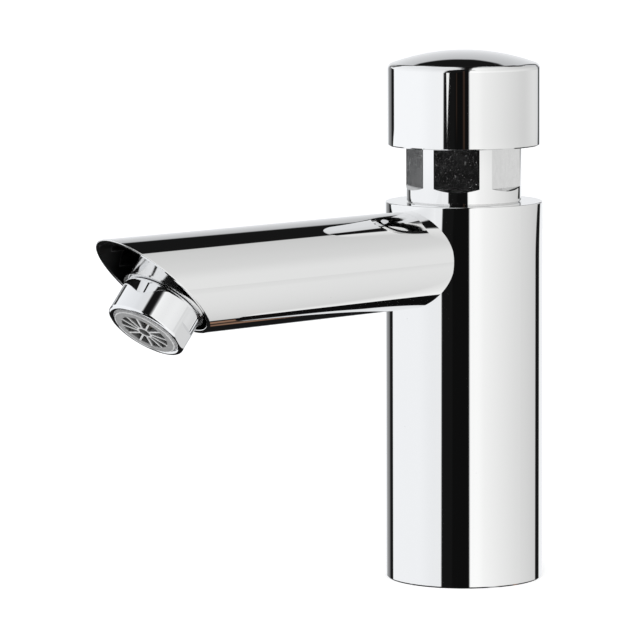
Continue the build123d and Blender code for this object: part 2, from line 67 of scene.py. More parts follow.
# Studio. Its light is told as what the chrome should show on the display, 0 to 1. Directions are
# in degrees: height is up from level, azimuth counts from the camera, positive to its right, and
# rear is the same from 0 to 360. A SIDE value is how far a direction goes to the camera's right,
# -1 to 1. A profile is a first value and its smooth changes, each (from, to, by how much).
RAISED_MOST = 62
BOXES_MEET = (-0.1, 0.1)
LEFT_BOX, LEFT_BOX_AT_CAP = 0.945, 0.972
CAP_ROW = (-5.1, -4.6)
LEFT_BOX_FRONT = (-75, -45)
LEFT_BOX_FRONT_DIM = 0.025
LEFT_BOX_FALL = 0.0014
RIGHT_BOX = (0.988, (8, 18, 0.015), (19, 29, -0.015))
RIGHT_BOX_FALL = 0.0016
RIGHT_BOX_BY_HEIGHT = (0.03, (-14, -8, -0.03), (-7, -1, 0.03), (10, 30, -0.04), (40, 60, 0.04))
RIGHT_BOX_AT_CAP = (-0.037, (95, 135, 0.095))
RIGHT_CAP_ROW = (-4.6, -2.5, 0.3)

GAP_SHADE, TABLE_SHADE = 0.105, 0.085
SIDE_LEFT = (-0.51, (20, 35, -0.06))
SIDE_LEFT_BEND, SIDE_LEFT_LEAN = 0.00014, 0.006
SIDE_LEFT_BLUR, SIDE_LEFT_BLUR_RISE = 0.018, 0.0009
SIDE_RIGHT = (0.092, (38, 44, 0.09), (47, 53, -0.09))
SIDE_RIGHT_BLUR = (0.016, (36, 42, 0.05), (48, 54, -0.05))
SIDE_RIGHT_LEAN = 0.0005
GAP_FRONT = (-0.05, 0.05)
GAP_OVERHEAD = (45, 55)
TABLE_LINE = (-51, -50)
TABLE_AZIMUTH, TABLE_STEEPNESS, TABLE_CLIMB = -50, 1 / 26, 11.5
TABLE_LOW, TABLE_BLUR = -47.5, 1.5
TABLE_LEFT_LIFT = (-85, -60)
TABLE_RIGHT_HEIGHTS, TABLE_RIGHT_AZIMUTHS, TABLE_RIGHT_END = (-50, -46), (-45, 2), 8

FAR_SHADE = 0.112
FAR_RIGHT = (
    136.2, (-44, -24, -8), (-6, -4.2, 19.8), (12.5, 17.5, 10), (30.5, 35.5, -10), (36, 40, -14),
)
FAR_LEFT = (
    230.5, (-51, -50, -20), (-18, -12, 17.5), (-5.4, -5.1, -5.5), (-4.5, -4.2, 4.5), (4, 12, -6),
    (5, 11, -17.5), (10, 16, 14), (30, 36, -16), (37, 43, -14),
)
FAR_BLUR = 1.2
FAR_TOP = (50, 54)
HAZE_HEIGHTS, HAZE_REARS = (-4.5, 14, 0.5), (180, 200)
HAZE_RISE, HAZE_LOW, HAZE_HIGH = (3, 5), 0.3, 0.5

PANEL_START = (142.5, (-6, -4.2, 15), (6, 20, 9), (28, 31, -9))
PANEL_END, PANEL_BLUR = 199, 2
PANEL_FOOT = (-24, -10)
PANEL_TOP, PANEL_TOP_FROM, PANEL_TOP_TO = 32.2, 176, 178
PANEL_TOP_SLOPE, PANEL_TOP_BLUR = 0.3, 1.2
PANEL_RISE, PANEL_LOW, PANEL_HIGH = (-4, 12), 0.925, 0.865
PANEL_FALL_FROM, PANEL_FALL = 10, 0.0068
STRIP_WIDEST, STRIP_MARGIN = 217, 5
STRIP_TOP = (24, 28)
STRIP_LIGHT, STRIP_START, STRIP_FALL = 0.655, 200, 0.014

SLIT_LIGHT = 0.95
SLIT_FOOT, SLIT_TAPER = 4.45, 2.6
SLIT_AZIMUTH, SLIT_LEAN = 20.7, 1.5
SLIT_EDGE = (0, 0.7)
SLIT_HEIGHTS = (-4.5, -2, 0.3)
SLIT_WARMTH = 4
# Each glint: its azimuths or rears, its heights, both (from, to, blur), and its strength
REAR_GLINTS = (
    ((150, 158, 2.0), (-45, -41.5, 1.2), 1.0),
    ((141, 149, 2.0), (-49, -46.5, 1.0), 1.0),
)
FRONT_GLINTS = (
    ((-3, -0.5, 1.0), (-4.7, 30, 0.3), 0.12),
    ((-13.5, -12, 0.6), (-4.2, -2, 0.3), 0.08),
)
PLAIN_TINT, COOL_TINT = (0.999, 1.003, 0.999), (0.98, 0.996, 1.018)
GLINT_TINT = (0.30, 0.17, 0.11)
COOL_LEFT, COOL_RIGHT = (-20, 60), (135, 150)

# Floor and key light
FLOOR_SIZE = 8.0
FLOOR_COLOUR, FLOOR_GLOW = (0.93, 0.93, 0.93, 1), 0.42
WHITE = (1, 1, 1, 1)
KEY_SIZE, KEY_ENERGY = 0.9, 9.0
KEY_PLACE, KEY_AIM = (1.1, -1.3, 1.5), (0, -0.06, 0.08)

# Tones of the finishes, each pair from its darkest to its palest place, and their roughness
CHROME_TONES = (tuple(c * 0.985 for c in CHROME_COLOUR), CHROME_COLOUR)
CHROME_ROUGHNESS = (0.018, 0.045)
SPECK_SPACING, SPECK_SIZE, SPECK_SHARE = 7 * MM, 0.22 * MM, (0.55, 0.6)
SPECK_TONE, SPECK_STRENGTH, SPECK_ROUGHNESS = (0.45, 0.44, 0.43), 0.35, 0.12
MILLED_TONE = (0.82, 0.83, 0.85)
MILLED_ROUGHNESS, MARKS_ROUGHNESS, SCUFFS_ROUGHNESS = 0.08, 0.05, 0.4
# Painted shade inside the spout's mouth, nearly black, and its roughness
MOUTH_SHADE_TONES, MOUTH_SHADE_ROUGHNESS = ((0.010, 0.009, 0.010), (0.022, 0.020, 0.021)), 0.42
BARE_TONES, BARE_ROUGHNESS = ((0.62, 0.43, 0.2), (0.74, 0.54, 0.28)), 0.34
BRASS_TONES, BRASS_ROUGHNESS = ((0.60, 0.41, 0.18), (0.77, 0.57, 0.30)), (0.22, 0.38)
STEEL_TONE, WIRE_TONE, STEEL_ROUGHNESS = (0.60, 0.60, 0.59), (0.34, 0.28, 0.22), (0.2, 0.36)
WHITE_TONES, WHITE_ROUGHNESS = ((0.70, 0.70, 0.68), (0.84, 0.84, 0.82)), (0.34, 0.5)
INSERT_GREYS = ((0.262, 0.256, 0.208), (0.32, 0.314, 0.256))
INSERT_PALES = ((0.53, 0.505, 0.43), (0.65, 0.625, 0.545))
# Painted shade in the insert's windows
INSERT_WINDOW_SHADE_TONES = ((0.12, 0.08, 0.05), (0.26, 0.18, 0.115))
INSERT_ROUGHNESS, INSERT_WINDOW_SHADE_ROUGHNESS = (0.4, 0.55), 0.3
RUBBER_TONES, RUBBER_ROUGHNESS = ((0.018, 0.018, 0.019), (0.05, 0.05, 0.052)), (0.5, 0.72)

# Tool marks, in radians to the metre
BARE_MARKS, BRASS_MARKS, BRASS_STEPS = 9000, 12000, 14000

# Where the finishes change: plating, bare brass, milled places and places of painted shade
COLUMN_BORE_RADIUS, COLUMN_BORE_TOP = 20.65 * MM, 118.1 * MM
FOOT_RADIUS, FOOT_HEIGHT = 24.3 * MM, 0.075 * MM
BONNET_BORE_RADIUS, BONNET_SCREWED_TOP = 8.35 * MM, 120.1 * MM
RECESS_RADIUS, RECESS_LOW, RECESS_HIGH = 18.175 * MM, 121.5 * MM, 143.5 * MM
CAP_INSIDE_RADIUS, CAP_INSIDE_TOP = 22.4 * MM, 163.75 * MM
INLET_RADIUS, STUD_RADIUS, STUD_SETBACK = 4.65 * MM, 3.55 * MM, 11.5 * MM
THREAD_PITCH = 1.0 * MM
INSERT_SPOKES_RADIUS, INSERT_WINDOW_RADIUS, INSERT_LIP_RADIUS = 7.8 * MM, 8.5 * MM, 9.8 * MM
# The bore's flanks, painted nearly black as shade inside the mouth
NEAR_FLANK = 10.8 * MM
FAR_FLANK = -5.5 * MM
FAR_FLANK_STEPS = ((-134.5 * MM, -133 * MM, -3.5 * MM), (-142 * MM, -139 * MM, -4 * MM))

# Aerator: its frame is the mouth's plane turned square to the aerator, with its rim at zero
SPOUT_AXIS_HEIGHT = 103.5 * MM
SPOUT_BORE_RADIUS = 14.2 * MM
MOUTH_REACH = 131.35 * MM
MOUTH_ANGLE = 49.6
RIM_DROP = 12.1 * MM
RIM_SETBACK = 6.0 * MM
NOZZLE_FLOOR = -22.1 * MM
INSERT_PROUD = 0.35 * MM
MESH_HIGH = 2.25 * MM
MESH_LOW = 1.85 * MM
MESH_RADIUS = 9.28 * MM
WIRE_PITCH = 0.72 * MM
WIRE_RADIUS = 0.095 * MM

# Return spring
SPRING_RADIUS = 7.6 * MM
SPRING_WIRE_RADIUS = 0.7 * MM
SPRING_LOW = 71.0 * MM
SPRING_HIGH = 99.0 * MM
SPRING_GRIND = 0.25 * MM
SPRING_END_PITCH = 2.0 * MM
SPRING_END_TURNS = 1
SPRING_ACTIVE_TURNS = 5
SPRING_STEPS = 40


class Signal:
    """A number or colour on a node's socket, with arithmetic that adds Math nodes."""

    def __init__(self, tree, socket):
        self.tree = tree
        self.socket = socket

    def plug(self, socket, value):
        """Links a signal to a socket, or sets the socket to a plain value."""
        if isinstance(value, Signal):
            self.tree.links.new(value.socket, socket)
        else:
            socket.default_value = value

    def math(self, operation, *others):
        node = self.tree.nodes.new("ShaderNodeMath")
        node.operation = operation
        for socket, value in zip(node.inputs, (self, *others)):
            self.plug(socket, value)
        return Signal(self.tree, node.outputs[0])

    def __add__(self, other):
        return self.math("ADD", other)

    def __sub__(self, other):
        return self.math("SUBTRACT", other)

    def __mul__(self, other):
        return self.math("MULTIPLY", other)

    def rises(self, low, high):
        """0 below low, 1 above high, smooth between; low and high may be signals."""
        node = self.tree.nodes.new("ShaderNodeMapRange")
        node.interpolation_type = "SMOOTHSTEP"
        self.plug(node.inputs["Value"], self)
        self.plug(node.inputs["From Min"], low)
        self.plug(node.inputs["From Max"], high)
        return Signal(self.tree, node.outputs["Result"])

    def falls(self, low, high):
        """1 below low, 0 above high, smooth between."""
        return self.rises(low, high) * -1 + 1

    def above(self, edge, blur):
        """1 above the edge, 0 below it, with a soft change."""
        return self.rises(edge - blur, edge + blur)

    def below(self, edge, blur):
        """1 below the edge, 0 above it, with a soft change."""
        return self.falls(edge - blur, edge + blur)

    def between(self, low, high, blur):
        """1 between two values, 0 outside them, with soft edges."""
        return self.above(low, blur) - self.above(high, blur)

    def profile(self, first, *changes):
        """The first value, with each change (from, to, by how much) coming in smoothly."""
        value = None
        for low, high, amount in changes:
            change = self.rises(low, high) * amount
            value = change if value is None else value + change
        return value + first

    def waves(self, rate):
        """Even waves, 0 to 1, of this many radians to the metre."""
        return (self * rate).math("SINE") * 0.5 + 0.5

    def over(self, start):
        """How far this signal is above the start, and 0 below it."""
        return (self - start).math("MAXIMUM", 0)

    def mix(self, low, high):
        """The colour or number between low and high that this signal, 0 to 1, picks."""
        node = self.tree.nodes.new("ShaderNodeMix")
        colours = any(isinstance(value, tuple) for value in (low, high))
        node.data_type = "RGBA" if colours else "FLOAT"
        a, b = (node.inputs[6], node.inputs[7]) if colours else (node.inputs[2], node.inputs[3])
        self.plug(node.inputs[0], self)
        for socket, value in ((a, low), (b, high)):
            self.plug(socket, (*value, 1.0) if isinstance(value, tuple) else value)
        return Signal(self.tree, node.outputs[2 if colours else 0])


def fresh(tree, kind, **settings):
    """Adds a node and sets its properties, or its sockets where a name isn't a property."""
    node = tree.nodes.new(kind)
    for name, value in settings.items():
        if hasattr(node, name):
            setattr(node, name, value)
        else:
            node.inputs[name.replace("_", " ")].default_value = value
    return node


# ---- Camera, studio and floor ----

def add_camera():
    """The photograph's camera, from its azimuth, pitch and roll."""
    azimuth, pitch, roll = map(math.radians, (CAMERA_AZIMUTH, CAMERA_PITCH, CAMERA_ROLL))
    up = Vector((0, 0, 1))
    back = Vector((math.sin(azimuth), -math.cos(azimuth), 0))
    right = Vector((math.cos(azimuth), math.sin(azimuth), 0))
    place = back * CAMERA_DISTANCE + right * CAMERA_SIDE + up * CAMERA_HEIGHT
    tilted_back = back * math.cos(pitch) + up * math.sin(pitch)
    tilted_up = up * math.cos(pitch) - back * math.sin(pitch)
    x = right * math.cos(roll) + tilted_up * math.sin(roll)
    y = tilted_up * math.cos(roll) - right * math.sin(roll)
    data = bpy.data.cameras.new("camera")
    data.lens, data.sensor_width = LENS, SENSOR
    data.clip_start, data.clip_end = CAMERA_CLIP
    camera = bpy.data.objects.new("camera", data)
    turn = Matrix((x, y, tilted_back)).transposed().to_4x4()
    camera.matrix_world = Matrix.Translation(place) @ turn
    bpy.context.scene.collection.objects.link(camera)
    bpy.context.scene.camera = camera


class Studio:
    """A white studio with dark gaps, as wide soft boxes leave, told by direction in degrees."""

    def __init__(self):
        world = bpy.data.worlds.new("studio")
        bpy.context.scene.world = world
        world.use_nodes = True
        self.tree = world.node_tree
        self.tree.nodes.clear()
        self.direction = fresh(self.tree, "ShaderNodeTexCoord").outputs["Generated"]
        turn = math.radians(CAMERA_AZIMUTH)
        self.side = self.along(math.cos(turn), math.sin(turn), 0)
        self.front = self.along(math.sin(turn), -math.cos(turn), 0)
        self.azimuth = self.side.math("ARCTAN2", self.front) * math.degrees(1)
        self.rear = self.azimuth + self.azimuth.math("LESS_THAN", 0) * 360
        self.height = self.along(0, 0, 1).math("ARCSINE") * math.degrees(1)
        self.raised = self.height.math("MAXIMUM", 0).math("MINIMUM", RAISED_MOST)

        light = self.with_gap(self.boxes())
        light = self.with_far_side(light)
        self.slit = self.slit_mask()
        self.give(self.slit.mix(light, SLIT_LIGHT), self.glints())

    def along(self, x, y, z):
        """The share of the direction along a way."""
        node = fresh(self.tree, "ShaderNodeVectorMath", operation="DOT_PRODUCT")
        self.tree.links.new(self.direction, node.inputs[0])
        node.inputs[1].default_value = (x, y, z)
        return Signal(self.tree, node.outputs["Value"])

    def boxes(self):
        """The left and right soft boxes, the right one falling off to the back."""
        azimuth, height = self.azimuth, self.height
        left = height.rises(*CAP_ROW).mix(LEFT_BOX, LEFT_BOX_AT_CAP)
        left = left - azimuth.rises(*LEFT_BOX_FRONT) * LEFT_BOX_FRONT_DIM
        left = left - self.raised * LEFT_BOX_FALL
        right = azimuth.profile(*RIGHT_BOX) - azimuth * RIGHT_BOX_FALL
        right = right + height.profile(*RIGHT_BOX_BY_HEIGHT)
        right = right + azimuth.profile(*RIGHT_BOX_AT_CAP) * height.between(*RIGHT_CAP_ROW)
        return self.side.rises(*BOXES_MEET).mix(left, right)

    def with_gap(self, light):
        """The dark gap between the boxes, over the top and down to the table's dark edge."""
        azimuth, height, raised = self.azimuth, self.height, self.raised
        left = height.profile(*SIDE_LEFT) + raised * raised * SIDE_LEFT_BEND
        left = left + height.math("MINIMUM", 0) * SIDE_LEFT_LEAN
        left_blur = raised * SIDE_LEFT_BLUR_RISE + SIDE_LEFT_BLUR
        right = height.profile(*SIDE_RIGHT) + raised * SIDE_RIGHT_LEAN
        right_blur = height.profile(*SIDE_RIGHT_BLUR) + raised * SIDE_RIGHT_LEAN
        gap = self.side.above(left, left_blur) - self.side.above(right, right_blur)
        reach = self.front.rises(*GAP_FRONT).math("MAXIMUM", height.rises(*GAP_OVERHEAD))
        off_table = height.rises(*TABLE_LINE)
        light = (gap * reach * off_table).mix(light, GAP_SHADE)

        climb = ((azimuth - TABLE_AZIMUTH) * TABLE_STEEPNESS).math("EXPONENT") * TABLE_CLIMB
        edge = climb + azimuth.falls(*TABLE_LEFT_LIFT) + TABLE_LOW
        table = (off_table - height.above(edge, TABLE_BLUR)).math("MAXIMUM", 0)
        right_start = height.rises(*TABLE_RIGHT_HEIGHTS).mix(*TABLE_RIGHT_AZIMUTHS)
        return (table * azimuth.falls(right_start, TABLE_RIGHT_END)).mix(light, TABLE_SHADE)

    def with_far_side(self, light):
        """The dark far side between the boxes' ends, with a lit panel and a grey strip in it."""
        rear, height = self.rear, self.height
        far_left = height.profile(*FAR_LEFT)
        far = rear.between(height.profile(*FAR_RIGHT), far_left, FAR_BLUR) * height.falls(*FAR_TOP)
        haze = height.between(*HAZE_HEIGHTS) * rear.falls(*HAZE_REARS)
        haze_light = height.rises(*HAZE_RISE).mix(HAZE_LOW, HAZE_HIGH)
        light = far.mix(light, haze.mix(FAR_SHADE, haze_light))

        over_foot = height.rises(*PANEL_FOOT)
        top = (rear * -1).over(-PANEL_TOP_FROM) - rear.over(PANEL_TOP_TO)
        top = top * PANEL_TOP_SLOPE + PANEL_TOP
        panel = rear.between(height.profile(*PANEL_START), PANEL_END, PANEL_BLUR)
        panel = panel * (over_foot - height.above(top, PANEL_TOP_BLUR))
        panel_light = height.rises(*PANEL_RISE).mix(PANEL_LOW, PANEL_HIGH)
        panel_light = panel_light - self.raised.over(PANEL_FALL_FROM) * PANEL_FALL
        light = panel.mix(light, panel_light)

        strip_end = (far_left - STRIP_MARGIN).math("MINIMUM", STRIP_WIDEST)
        strip = rear.between(PANEL_END, strip_end, PANEL_BLUR)
        strip = strip * (over_foot - height.rises(*STRIP_TOP))
        return strip.mix(light, (rear - STRIP_START) * -STRIP_FALL + STRIP_LIGHT)

    def slit_mask(self):
        """A narrow slit of light in the gap, which tapers down."""
        aside = self.azimuth + SLIT_AZIMUTH - self.height * SLIT_LEAN
        width = (self.height + SLIT_FOOT) * SLIT_TAPER - aside.math("ABSOLUTE")
        return width.rises(*SLIT_EDGE) * self.height.between(*SLIT_HEIGHTS)

    def glints(self):
        """Warm glints in the gap and on the table behind."""
        glints = [
            way.between(*across) * self.height.between(*upright) * strength
            for way, rows in ((self.rear, REAR_GLINTS), (self.azimuth, FRONT_GLINTS))
            for across, upright, strength in rows
        ]
        total = glints[0]
        for glint in glints[1:]:
            total = total + glint
        return total

    def give(self, light, glint):
        """Puts the light in the world, made linear. The camera itself sees plain white behind."""
        tree, azimuth = self.tree, self.azimuth
        light = light.math("MAXIMUM", 0.0).math("POWER", DISPLAY_GAMMA) * (1 / CHROME_GREY)
        cool = (azimuth * -1).rises(*COOL_LEFT).math("MAXIMUM", azimuth.rises(*COOL_RIGHT))
        cool = cool * (self.slit * -SLIT_WARMTH + 1)
        colour = fresh(tree, "ShaderNodeCombineColor")
        for channel, plain, blue, glow in zip(colour.inputs, PLAIN_TINT, COOL_TINT, GLINT_TINT):
            tree.links.new((light * cool.mix(plain, blue) + glint * glow).socket, channel)
        lit = fresh(tree, "ShaderNodeBackground", Strength=1.0)
        tree.links.new(colour.outputs[0], lit.inputs["Color"])
        plain = fresh(tree, "ShaderNodeBackground", Color=WHITE, Strength=1.0)
        seen = fresh(tree, "ShaderNodeMixShader")
        tree.links.new(fresh(tree, "ShaderNodeLightPath").outputs["Is Camera Ray"], seen.inputs[0])
        tree.links.new(lit.outputs[0], seen.inputs[1])
        tree.links.new(plain.outputs[0], seen.inputs[2])
        tree.links.new(seen.outputs[0], fresh(tree, "ShaderNodeOutputWorld").inputs["Surface"])


def add_floor():
    """A pale floor, seen from above only, that the chrome doesn't mirror."""
    made = bmesh.new()
    bmesh.ops.create_grid(made, x_segments=1, y_segments=1, size=FLOOR_SIZE)
    data = bpy.data.meshes.new("floor")
    made.to_mesh(data)
    made.free()
    floor = bpy.data.objects.new("floor", data)
    bpy.context.scene.collection.objects.link(floor)
    material = bpy.data.materials.new("floor")
    material.use_nodes = True
    tree = material.node_tree
    tree.nodes.clear()
    paper = fresh(tree, "ShaderNodeBsdfDiffuse", Color=FLOOR_COLOUR)
    glow = fresh(tree, "ShaderNodeEmission", Color=WHITE, Strength=FLOOR_GLOW)
    both = fresh(tree, "ShaderNodeAddShader")
    tree.links.new(paper.outputs[0], both.inputs[0])
    tree.links.new(glow.outputs[0], both.inputs[1])
    side = fresh(tree, "ShaderNodeMixShader")
    facing = fresh(tree, "ShaderNodeNewGeometry").outputs["Backfacing"]
    tree.links.new(facing, side.inputs[0])
    tree.links.new(both.outputs[0], side.inputs[1])
    tree.links.new(fresh(tree, "ShaderNodeBsdfTransparent").outputs[0], side.inputs[2])
    tree.links.new(side.outputs[0], fresh(tree, "ShaderNodeOutputMaterial").inputs["Surface"])
    data.materials.append(material)
    floor.visible_glossy = False


def add_key_light():
    """A soft key light for the parts that aren't mirrors."""
    data = bpy.data.lights.new("key", "AREA")
    data.shape, data.size, data.energy = "DISK", KEY_SIZE, KEY_ENERGY
    key = bpy.data.objects.new("key", data)
    key.location = KEY_PLACE
    aim = Vector(KEY_AIM) - Vector(key.location)
    key.rotation_euler = aim.to_track_quat("-Z", "Y").to_euler()
    key.visible_glossy = False
    bpy.context.scene.collection.objects.link(key)


# ---- Materials ----

class Finish:
    """A material under a Principled shader, with the patterns that the finishes share."""

    def __init__(self, name):
        self.material = bpy.data.materials.new(name)
        self.material.use_nodes = True
        self.tree = self.material.node_tree
        self.tree.nodes.clear()
        self.shader = fresh(self.tree, "ShaderNodeBsdfPrincipled")
        output = fresh(self.tree, "ShaderNodeOutputMaterial")
        self.tree.links.new(self.shader.outputs[0], output.inputs["Surface"])
        self.place = fresh(self.tree, "ShaderNodeTexCoord").outputs["Object"]

    def scaled(self, stretch):
        """The place, stretched along its axes."""
        node = fresh(self.tree, "ShaderNodeMapping")
        node.inputs["Scale"].default_value = stretch
        self.tree.links.new(self.place, node.inputs["Vector"])
        return node.outputs[0]

    def axis(self, name):
        """One coordinate of the place, in metres."""
        node = fresh(self.tree, "ShaderNodeSeparateXYZ")
        self.tree.links.new(self.place, node.inputs[0])
        return Signal(self.tree, node.outputs[name])

    def radius(self, x=0.0, y=0.0):
        """The distance from an upright axis, in metres."""
        across, along = self.axis("X") - x, self.axis("Y") - y
        return (across * across + along * along).math("SQRT")

    def aerator(self):
        """The distance from the aerator's axis and the height out of its rim, in metres."""
        place = aerator_matrix()
        local = []
        for way in (place.col[0], place.col[1], place.col[2]):
            node = fresh(self.tree, "ShaderNodeVectorMath", operation="DOT_PRODUCT")
            self.tree.links.new(self.place, node.inputs[0])
            node.inputs[1].default_value = way[:3]
            origin = place.translation.dot(way.to_3d())
            local.append(Signal(self.tree, node.outputs["Value"]) - origin)
        across, along, out = local
        return (across * across + along * along).math("SQRT"), out

    def noise(self, size, detail=2.0, stretch=(1, 1, 1)):
        """Cloudy noise, about 0 to 1, whose patches are this large in metres."""
        node = fresh(self.tree, "ShaderNodeTexNoise", Scale=1 / size, Detail=detail)
        self.tree.links.new(self.scaled(stretch), node.inputs["Vector"])
        return Signal(self.tree, node.outputs[0])

    def specks(self, spacing, size):
        """Sparse round specks, 1 in a speck and 0 outside."""
        node = fresh(self.tree, "ShaderNodeTexVoronoi", Scale=1 / spacing)
        self.tree.links.new(self.place, node.inputs["Vector"])
        distance = Signal(self.tree, node.outputs["Distance"])
        chance = fresh(self.tree, "ShaderNodeSeparateColor")
        self.tree.links.new(node.outputs["Color"], chance.inputs[0])
        share = Signal(self.tree, chance.outputs[0]).rises(*SPECK_SHARE)
        return distance.falls(size / spacing * 0.6, size / spacing) * share

    def set(self, **inputs):
        """Sets or links the shader's inputs."""
        for name, value in inputs.items():
            socket = self.shader.inputs[name.replace("_", " ")]
            if isinstance(value, Signal):
                self.tree.links.new(value.socket, socket)
            else:
                socket.default_value = (*value, 1.0) if isinstance(value, tuple) else value

    def bump(self, height, distance):
        """Relief from a height signal, 0 to 1, over this distance in metres."""
        node = fresh(self.tree, "ShaderNodeBump", Strength=1.0, Distance=distance)
        self.tree.links.new(height.socket, node.inputs["Height"])
        self.tree.links.new(node.outputs[0], self.shader.inputs["Normal"])


def chrome(name, bare=None, wipe=(1, 1, 0.2), milled=None, dark=None, satin=0.0):
    """Bright plating with wipe marks and specks, over a satin roughness.

    Three functions may mark places on it: bare brass, a rougher milled cut and painted shade,
    nearly black and dull.
    """
    finish = Finish(name)
    wiped = finish.noise(9 * MM, 4.0, wipe)
    specks = finish.specks(SPECK_SPACING, SPECK_SIZE)
    colour = (specks * SPECK_STRENGTH).mix(wiped.mix(*CHROME_TONES), SPECK_TONE)
    rough = wiped.rises(0.35, 0.8).mix(*CHROME_ROUGHNESS) + specks * SPECK_ROUGHNESS + satin
    relief = finish.noise(14 * MM, 1.0) + finish.noise(1.1 * MM) * 0.012
    if milled:
        cut = milled(finish)
        marks = finish.noise(1.4 * MM, 5.0, (1, 1, 0.5)).rises(0.35, 0.65)
        scuffs = finish.noise(0.5 * MM, 5.0).rises(0.64, 0.72)
        colour = (cut * marks).mix(colour, MILLED_TONE)
        scratched = marks * MARKS_ROUGHNESS + scuffs * SCUFFS_ROUGHNESS + MILLED_ROUGHNESS
        rough = cut.mix(rough, scratched)
        relief = relief + cut * (marks * 0.1 + scuffs * 0.8)
    if bare:
        inside = bare(finish)
        colour = inside.mix(colour, finish.radius().waves(BARE_MARKS).mix(*BARE_TONES))
        rough = inside.mix(rough, BARE_ROUGHNESS)
    # Painted shade: the marked places are painted nearly black, as shade inside the mouth
    if dark:
        dull = dark(finish)
        colour = dull.mix(colour, finish.noise(2.5 * MM, 5.0).mix(*MOUTH_SHADE_TONES))
        rough = dull.mix(rough, MOUTH_SHADE_ROUGHNESS)
    finish.set(Base_Color=colour, Metallic=1.0, Roughness=rough)
    finish.bump(relief, 0.004 * MM)
    return finish.material


def brass(name, thread=None):
    """Turned brass with fine tool marks round its axis, and thread turns where they are marked."""
    finish = Finish(name)
    marks = finish.radius().waves(BRASS_MARKS)
    steps = finish.axis("Z").waves(BRASS_STEPS)
    cloud = finish.noise(6 * MM, 3.0)
    tone = (marks * 0.4 + cloud * 0.6).mix(*BRASS_TONES)
    finish.set(Base_Color=tone, Metallic=1.0, Roughness=cloud.mix(*BRASS_ROUGHNESS))
    relief = (marks + steps) * 0.02
    if thread:
        relief = relief + thread(finish)
    finish.bump(relief, 0.5 * MM)
    return finish.material


def steel(name, tone=STEEL_TONE):
    """Drawn stainless steel with fine lines."""
    finish = Finish(name)
    lines = finish.noise(0.5 * MM, 3.0, (1, 1, 5))
    colour = lines.mix(tuple(c * 0.8 for c in tone), tone)
    finish.set(Base_Color=colour, Metallic=1.0, Roughness=lines.mix(*STEEL_ROUGHNESS))
    finish.bump(lines, 0.01 * MM)
    return finish.material


def white_plastic(name):
    """Moulded plastic: slightly cloudy, with a fine grain."""
    finish = Finish(name)
    cloud = finish.noise(2.2 * MM, 4.0)
    grain = finish.noise(0.12 * MM, 2.0)
    tone = (cloud * 0.75 + grain * 0.25).rises(0.3, 0.7).mix(*WHITE_TONES)
    finish.set(Base_Color=tone, Roughness=grain.mix(*WHITE_ROUGHNESS), IOR=1.5)
    finish.bump(grain, 0.012 * MM)
    return finish.material


def insert_plastic(name):
    """The aerator's insert: grey, lighter on its spokes and lip, with painted shade in its
    windows.
    """
    finish = Finish(name)
    radius, out = finish.aerator()
    cloud = finish.noise(1.6 * MM, 4.0)
    grain = finish.noise(0.12 * MM, 2.0)
    spokes = radius.below(INSERT_SPOKES_RADIUS, 0.1 * MM)
    lip = radius.above(INSERT_LIP_RADIUS, 0.1 * MM)
    # Painted shade: the insert's surfaces below its face, inside the windows, are painted dark
    # brown
    deep = (out - INSERT_PROUD).falls(-0.35 * MM, -0.08 * MM)
    deep = deep * radius.below(INSERT_WINDOW_RADIUS, 0.1 * MM)
    tone = cloud.rises(0.3, 0.7)
    clean = spokes.math("MAXIMUM", lip).mix(tone.mix(*INSERT_GREYS), tone.mix(*INSERT_PALES))
    colour = deep.mix(clean, tone.mix(*INSERT_WINDOW_SHADE_TONES))
    rough = grain.mix(*INSERT_ROUGHNESS) + deep * INSERT_WINDOW_SHADE_ROUGHNESS
    finish.set(Base_Color=colour, Roughness=rough, Specular_IOR_Level=0.35)
    finish.bump(grain, 0.012 * MM)
    return finish.material


def rubber(name):
    """Black sealing rubber with a dull bloom."""
    finish = Finish(name)
    bloom = finish.noise(3 * MM, 4.0)
    grain = finish.noise(0.2 * MM, 2.0)
    finish.set(Base_Color=bloom.mix(*RUBBER_TONES), Roughness=bloom.mix(*RUBBER_ROUGHNESS))
    finish.bump(grain, 0.02 * MM)
    return finish.material


def bore_flanks(finish):
    """The flanks of the spout's bore at its mouth, where shade inside the mouth is painted on
    nearly black.
    """
    across, along = finish.axis("X"), finish.axis("Y")
    upright = finish.axis("Z") - SPOUT_AXIS_HEIGHT
    radius = (across * across + upright * upright).math("SQRT")
    bore = radius.below(SPOUT_BORE_RADIUS + 0.06 * MM, 0.04 * MM)
    far_flank = (across - along.profile(FAR_FLANK, *FAR_FLANK_STEPS)).below(0, 0.3 * MM)
    return bore * far_flank.math("MAXIMUM", across.above(NEAR_FLANK, 0.4 * MM))


def nozzle_floor(finish):
    """The floor deep in the mouth, where shade inside the mouth is painted on nearly black."""
    return finish.aerator()[1].below(NOZZLE_FLOOR + 0.06 * MM, 0.04 * MM)


def column_bare(finish):
    """The column's bore and the turned face of its foot, which the plating leaves bare."""
    radius, height = finish.radius(), finish.axis("Z")
    bore = radius.below(COLUMN_BORE_RADIUS, 0.05 * MM) * height.below(COLUMN_BORE_TOP, 0.1 * MM)
    foot = radius.below(FOOT_RADIUS, 0.1 * MM) * height.below(FOOT_HEIGHT, 0.025 * MM)
    return bore.math("MAXIMUM", foot)


def bonnet_bare(finish):
    """All of the bonnet but its neck."""
    inside = finish.radius().below(BONNET_BORE_RADIUS, 0.05 * MM)
    screwed = finish.axis("Z").below(BONNET_SCREWED_TOP, 0.1 * MM)
    return inside.math("MAXIMUM", screwed)


def neck_recesses(finish):
    """The milled wrench recesses, which lie inside the neck's round."""
    inside = finish.radius().below(RECESS_RADIUS, 0.075 * MM)
    return inside * finish.axis("Z").between(RECESS_LOW, RECESS_HIGH, 0.2 * MM)


def cap_bare(finish):
    """The inside of the cap."""
    inside = finish.radius().below(CAP_INSIDE_RADIUS, 0.1 * MM)
    return inside * finish.axis("Z").below(CAP_INSIDE_TOP, 0.25 * MM)


